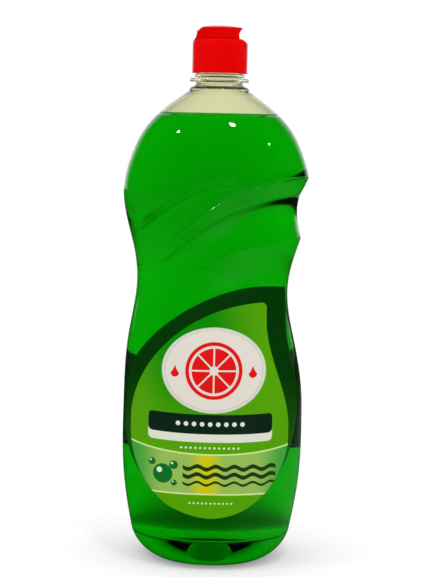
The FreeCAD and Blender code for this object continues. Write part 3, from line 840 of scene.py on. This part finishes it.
# %% Green liquid
like_water = {"Transmission Weight": 1.0, "Roughness": 0.0}
liquid, shade, surface = new_finish("green_soap", {**like_water, "IOR": LIQUID_IOR / PLASTIC_IOR})
feed(surface, normal=wall_bump(shade))
tint = {"Color": (0.0, 0.928, 0.0, 1.0), "Density": 150.0}
volume = shade.node("ShaderNodeVolumeAbsorption", None, tint)
open_top = shade.node("ShaderNodeBsdfPrincipled", None, {**like_water, "IOR": LIQUID_IOR})
at_top = place_in_mm(shade)[2].step(LIQUID_LEVEL - 0.10, LIQUID_LEVEL - 0.05)
skin = Shade(liquid.node_tree, surface.outputs[0])
whole = shade.node("ShaderNodeMixShader", None, {0: at_top, 1: skin, 2: open_top})
output = liquid.node_tree.nodes["Material Output"]
liquid.node_tree.links.new(whole.socket, output.inputs["Surface"])
liquid.node_tree.links.new(volume.socket, output.inputs["Volume"])
pieces["soap_liquid"].data.materials.append(liquid)
print("absorbing liquid in the bottle")

# %% [markdown]
# The front label is printed: a dark green border, a lime field that deepens towards its middle, a
# pale oval, a dark banner over a cream strip, two pale lines and a yellow band between them. The
# print is made as masks on x and z, each a shape with a hair of softness at its edge: a disc is a
# distance, a bar is two steps, a wheel of fruit is a disc cut by spokes. The motifs are plain
# ones: a slice of citrus, drops, bubbles and waves.

# %% Front label's print
SOFT = 0.07


def inside(distance, edge):
    """A mask that is 1 where a distance is less than edge."""
    return distance.step(edge + SOFT, edge - SOFT)


def between(number, low, high):
    """A mask that is 1 between two numbers."""
    return number.step(low - SOFT, low + SOFT) * number.step(high + SOFT, high - SOFT)


def length(across, up):
    """The length of a flat vector: the square root of the sum of squares."""
    return (across * across + up * up) ** 0.5


def bar(across, up, half_length, half_height, corner):
    """A mask for a bar with round corners."""
    over = (abs(across) - (half_length - corner)).math("MAXIMUM", 0.0)
    above = (abs(up) - (half_height - corner)).math("MAXIMUM", 0.0)
    return inside(length(over, above), corner)


def dots(across, up, spacing, count, radius):
    """A mask for a row of discs about the middle."""
    near = (across / spacing).math("ROUND").math("MAXIMUM", -count).math("MINIMUM", float(count))
    return inside(length(across - near * spacing, up), radius)


def drop(across, up, size):
    """A mask for a drop: a disc whose upper half narrows to a point."""
    narrow = 1.0 + up.math("MAXIMUM", 0.0) / size * 0.9
    return inside(length(across * narrow, up * (1.0 - up.step(0.0, size * 2.0) * 0.45)), size)


def citrus(across, up, radius, segments):
    """A mask for a slice of citrus: a rind ring, and segments between the spokes."""
    away = length(across, up)
    angle = up.math("ARCTAN2", across) * (segments / (2.0 * math.pi))
    spoke = abs(angle - angle.math("ROUND")) * away * (2.0 * math.pi / segments)
    flesh = spoke.step(0.45 - SOFT, 0.45 + SOFT) * between(away, radius * 0.16, radius * 0.78)
    rind = between(away, radius * 0.87, radius)
    return flesh.math("MAXIMUM", rind)


def print_field(x, z):
    """The border and the lime field in it. Gives their colour, and the mask of the band's place."""
    border = z.step(62.0, 112.0).mix(colour(24, 88, 10), colour(1, 57, 2))
    from_middle = length((x + 12.0) / 44.0, (z - 124.0) / 58.0)
    field = from_middle.step(0.25, 1.0).mix(colour(2, 138, 2), colour(84, 163, 0))
    left = length((x - 29.5) / 75.0, (z - 78.0).math("MAXIMUM", 0.0) / 69.2)
    right = x + (z - 78.0).step(0.0, 60.0) * 13.5
    from_left = (left * 70.0 - 67.0).math("MAXIMUM", 0.0)
    from_right = (right - 39.2).math("MAXIMUM", 0.0)
    in_top = inside(length(from_left, from_right), 3.0)
    foot = length((x + 1.2) / 43.9, (z - 76.0).math("MINIMUM", 0.0) / 47.4)
    in_foot = foot.step(1.0015, 0.9985)
    return (in_top * in_foot).mix(border, field), in_foot * inside(right, 42.2)


def print_emblem(ink, x, z):
    """A pale oval with a fine rim, on it a red slice of citrus between two drops."""
    oval = length((x - 0.4) / 28.5, (z - 110.6) / 23.3)
    rim = oval.step(0.925, 0.93) * oval.step(0.952, 0.946)
    red = colour(224, 18, 18)
    ink = oval.step(1.003, 0.997).mix(ink, colour(205, 212, 196))
    ink = oval.step(0.973, 0.967).mix(ink, colour(226, 219, 207))
    ink = (rim * 0.6).mix(ink, colour(178, 184, 170))
    ink = citrus(x - 0.4, z - 110.4, 15.6, 8.0).mix(ink, red)
    return drop(abs(x - 0.4) - 21.3, z - 109.0, 2.3).mix(ink, red)


def print_banner(ink, x, z):
    """A cream strip, a dark banner over it, and a row of dots on the banner and below the strip."""
    bowed = z + (1.0 - (x / 34.0) ** 2.0) * 0.7
    ink = bar(x + 1.0, bowed - 79.6, 34.0, 7.6, 2.4).mix(ink, colour(224, 226, 208))
    ink = bar(x + 1.0, bowed - 81.9, 34.0, 5.4, 2.4).mix(ink, colour(13, 38, 26))
    ink = dots(x + 1.0, bowed - 82.0, 4.4, 4, 1.25).mix(ink, colour(222, 228, 220))
    return dots(x + 1.0, z - 68.2, 2.6, 6, 0.62).mix(ink, colour(222, 232, 205))


def print_band(ink, x, z, in_place):
    """A yellow band that turns green at its ends, between two pale lines, the upper one bowed."""
    bowed = z - (x / 43.0) ** 2.0 * 4.2
    band = bowed.step(64.5, 64.3) * z.step(42.3, 42.5) * in_place
    ends = abs(x + 1.0).step(24.0, 41.0).mix(colour(150, 190, 88), colour(64, 164, 58))
    ink = band.mix(ink, abs(x + 2.5).step(11.0, 1.0).mix(ends, colour(206, 200, 8)))
    for number, low in ((bowed, 64.0), (z, 42.0)):
        ink = (between(number, low, low + 0.9) * in_place).mix(ink, colour(205, 233, 150))
    return ink


BUBBLES = [(-26.5, 53.0, 5.4), (-20.6, 58.2, 2.4), (-32.6, 59.2, 2.0), (-20.3, 48.2, 1.7)]
WAVES = [(57.2, 1.15), (52.8, 1.15), (48.4, 0.7)]


def print_motifs(ink, x, z):
    """Bubbles, each a disc with a shine on it, waves beside them, and a row of dots at the foot."""
    for across, up, radius in BUBBLES:
        ink = inside(length(x - across, z - up), radius).mix(ink, colour(12, 112, 40))
        shine = length(x - across + radius * 0.35, z - up - radius * 0.35)
        ink = inside(shine, radius * 0.28).mix(ink, colour(228, 240, 214))
    for up, thick in WAVES:
        wave = z - up - (x * 0.62).math("SINE") * 0.9
        ink = (between(wave, -thick, thick) * inside(abs(x - 10.0), 25.5)).mix(ink, colour(26, 62, 12))
    return dots(x, z - 37.4, 2.3, 5, 0.55).mix(ink, colour(214, 236, 176))


def print_front(shade):
    """The front label's colour: each part of the print laid over the one before."""
    x, y, z = place_in_mm(shade)
    ink, band_place = print_field(x, z)
    ink = print_emblem(ink, x, z)
    ink = print_banner(ink, x, z)
    ink = print_band(ink, x, z, band_place)
    return print_motifs(ink, x, z)


def printed_film(name, piece, paint):
    """A film with a print on it, softly glossy under a thin coat, on a piece."""
    fixed = {"Specular IOR Level": 0.05, "Coat Weight": 0.3, "Coat Roughness": 0.04}
    film, shade, surface = new_finish(name, fixed)
    gloss = noise(shade, 900.0, 3.0) * 0.12 + 0.24
    waves = bump(shade, noise(shade, 160.0), 0.00012)
    feed(surface, base_color=paint(shade), roughness=gloss, normal=waves)
    pieces[piece].data.materials.append(film)
    print(piece, "printed with", len(film.node_tree.nodes), "nodes")


printed_film("front_label_film", "label_front", print_front)

# %% [markdown]
# The back label isn't seen in the photograph. It gets a quiet print of the same family: a pale
# ground in a green frame, a small slice of citrus between two discs, and a wave at its foot.

# %% Back label's print


def print_back(shade):
    """The back label's colour: frame, ground, wave, slice and discs."""
    x, y, z = place_in_mm(shade)
    up = z - back_middle[1]
    ground = bar(x, up, 25.8, 22.8, 3.4)
    green = colour(70, 160, 24)
    ink = bar(x, up, 26.8, 23.8, 4.0).mix(colour(232, 236, 220), colour(40, 128, 30))
    ink = ground.mix(ink, colour(236, 240, 226))
    wave = z - 64.0 - (x * 0.21).math("SINE") * 2.0
    ink = (ground * wave.step(0.08, -0.08)).mix(ink, colour(96, 172, 28))
    ink = citrus(x, z - 88.0, 11.5, 8.0).mix(ink, green)
    return inside(length(abs(x) - 18.0, z - 88.0), 2.0).mix(ink, green)


printed_film("back_label_film", "label_back", print_back)

# %% [markdown]
# Cap and lid are moulded polypropylene, a bright red right through. The mould leaves a silky
# skin: a very fine grain, a slow unevenness of gloss, and colour that is a little deeper in clouds.
# The lid came out of the same mould and has the same finish, in a red that is a shade deeper.

# %% Red polypropylene


def red_plastic(name, deep, bright, *names):
    """A moulded red between a deep and a bright one, on the pieces of these names."""
    fixed = {"Specular IOR Level": 0.02, "Coat Weight": 0.5, "Coat Roughness": 0.03}
    made, shade, surface = new_finish(name, fixed)
    cloud = noise(shade, 70.0)
    grain = noise(shade, 2600.0) * 0.5 + noise(shade, 140.0, 1.0) * 2.0
    red = cloud.step(0.25, 0.75).mix(deep, bright)
    feed(surface, base_color=red, roughness=cloud * 0.10 + 0.24, normal=bump(shade, grain, 0.00003))
    for piece in names:
        pieces[piece].data.materials.append(made)


red_plastic("cap_red", colour(228, 0, 1), colour(238, 1, 2), "screw_cap", "hinge_strap")
red_plastic("lid_red", colour(216, 0, 1), colour(228, 1, 2), "flip_lid")

foam, shade, surface = new_finish("white_foam", {"IOR": 1.45})
place = shade.node("ShaderNodeTexCoord", output="Object")
cells = shade.node("ShaderNodeTexVoronoi", {"feature": "F1"}, {"Vector": place, "Scale": 3500.0})
white = cells.step(0.1, 0.9).mix(colour(240, 239, 234), colour(226, 225, 219))
feed(surface, base_color=white, roughness=cells * 0.1 + 0.75, normal=bump(shade, cells, 0.00006))
pieces["sealing_washer"].data.materials.append(foam)
print("red plastic on cap, lid and strap; foam on the washer")

# %% [markdown]
# The camera stands a metre in front of the bottle at the height of its liquid, tips down a little
# and is turned by about one degree, as in the photograph. A long lens keeps the sides straight.

# %% Camera
CAMERA_PLACE = (0.00083, -1.0, 0.249)
CAMERA_TILT, CAMERA_ROLL, CAMERA_LENS = 5.57, 1.235, 110.99

camera = placed("camera", bpy.data.cameras.new("camera"))
camera.data.lens = CAMERA_LENS
camera.data.sensor_width = 36.0
tilt = Matrix.Rotation(math.radians(90.0 - CAMERA_TILT), 4, "X")
roll = Matrix.Rotation(math.radians(CAMERA_ROLL), 4, "Z")
camera.matrix_world = Matrix.Translation(CAMERA_PLACE) @ (tilt @ roll)
bpy.context.scene.camera = camera
print("camera at", CAMERA_PLACE)

# %% [markdown]
# The studio is white. What the camera sees behind the bottle is the world's own white at a strength
# of 1, and it shines through the bottle too, dimmer from in front, above and below. Mirrored light
# is strong only from behind, so the bottle's edges catch it while its front stays clear and deep.
# The soft light on the label and the cap is a plain level, with three small lamps for the sparkle.
# The floor is pale and takes the bottle's soft shadow. For rays that came through the bottle it is
# painted dark close by, a painted shadow of the bottle, and glows brighter further out. Mirrored
# rays find it dark, but for a glowing stretch on the right: painted light for a soft reflection.

# %% Studio


def grey(level):
    """A grey of this linear level, as a shader takes it."""
    return (level, level, level, 1.0)


def chosen(mask, low, high):
    """The number low where the mask is 0, high where it is 1."""
    return (high - low) * mask + low


def ray_masks(shade):
    """Masks that are 1 for the camera's own rays, for those that came through, and for mirrored ones."""
    kinds = ("Is Camera Ray", "Is Transmission Ray", "Is Glossy Ray")
    return [shade.node("ShaderNodeLightPath", output=kind) for kind in kinds]


world = bpy.data.worlds.new("studio")
bpy.context.scene.world = world
world.use_nodes = True
sky = Shade(world.node_tree)
camera_ray, through_ray, mirror_ray = ray_masks(sky)
heading = sky.node("ShaderNodeTexCoord", output="Generated")
ahead = sky.node("ShaderNodeSeparateXYZ", inputs={0: heading}, output="Y")
rising = sky.node("ShaderNodeSeparateXYZ", inputs={0: heading}, output="Z")
through = (ahead.step(-0.2, 0.6) * 0.65 + 0.35) * (1.0 - abs(rising).step(0.10, 0.40) * 0.55)
mirrored = ahead.step(0.70, 0.97) * 0.9 + 0.008
level = chosen(mirror_ray, 1.0, mirrored)
level = chosen(through_ray, level, through)
level = chosen(camera_ray, level, 1.0)
backdrop = world.node_tree.nodes["Background"]
backdrop.inputs["Color"].default_value = grey(1.0)
world.node_tree.links.new(level.socket, backdrop.inputs["Strength"])
world.cycles.sampling_method = "NONE"

FLOOR_HALF, FLOOR_LEVEL = 6.0, -0.0003
signs = [(-1.0, -1.0), (1.0, -1.0), (1.0, 1.0), (-1.0, 1.0)]
floor_corners = [(FLOOR_HALF * across, FLOOR_HALF * along, FLOOR_LEVEL) for across, along in signs]
floor_mesh = bpy.data.meshes.new("floor")
floor_mesh.from_pydata(floor_corners, [], [(0, 1, 2, 3)])
floor = placed("floor", floor_mesh)
floor_paint, shade, surface = new_finish("pale_floor", {
    "Roughness": 0.9,
    "Specular IOR Level": 0.0,
    "Emission Strength": 1.0,
})
camera_ray, through_ray, mirror_ray = ray_masks(shade)
only_mirrored = mirror_ray * (1.0 - through_ray)
x, y, z = place_in_mm(shade)
# For rays that came through, the floor is painted dark within 60 to 260 mm of the bottle, a painted
# shadow, and glows a little more further out.
beyond = length(x, y).step(60.0, 260.0)
painted_dark = only_mirrored.math("MAXIMUM", through_ray * (1.0 - beyond))
glow = camera_ray * 0.25 + through_ray * (beyond * 0.13 + 0.12)
# A glowing stretch on the right that only mirrored rays see: painted light that lays a soft reflection
# on the grip.
glow = glow + only_mirrored * x.step(20.0, 120.0) * x.step(450.0, 250.0) * 0.10
pale = painted_dark.mix(grey(0.8), grey(0.01))
feed(surface, base_color=pale, emission_color=glow.mix(grey(0.0), grey(1.0)))
floor_mesh.materials.append(floor_paint)


def lamp(name, place, aim, size, power):
    """A square area lamp at a place, turned towards an aim."""
    light = bpy.data.lights.new(name, "AREA")
    light.size = size
    light.energy = power
    direction = np.array(aim) - np.array(place)
    yaw = math.atan2(direction[1], direction[0]) - 0.5 * math.pi
    pitch = math.atan2(direction[2], math.hypot(direction[0], direction[1])) + 0.5 * math.pi
    aimed = Matrix.Rotation(yaw, 4, "Z") @ Matrix.Rotation(pitch, 4, "X")
    placed(name, light).matrix_world = Matrix.Translation(place) @ aimed


MIDDLE = (0.0, 0.0, 0.16)
lamp("lamp_left", (-0.868, -0.468, 1.399), MIDDLE, 0.10, 1.4)
lamp("lamp_middle", (0.257, -0.61, 1.606), MIDDLE, 0.12, 2.2)
lamp("lamp_right", (1.168, -0.463, 1.108), MIDDLE, 0.05, 0.35)
bpy.context.scene.view_settings.view_transform = "Standard"
print("studio ready")
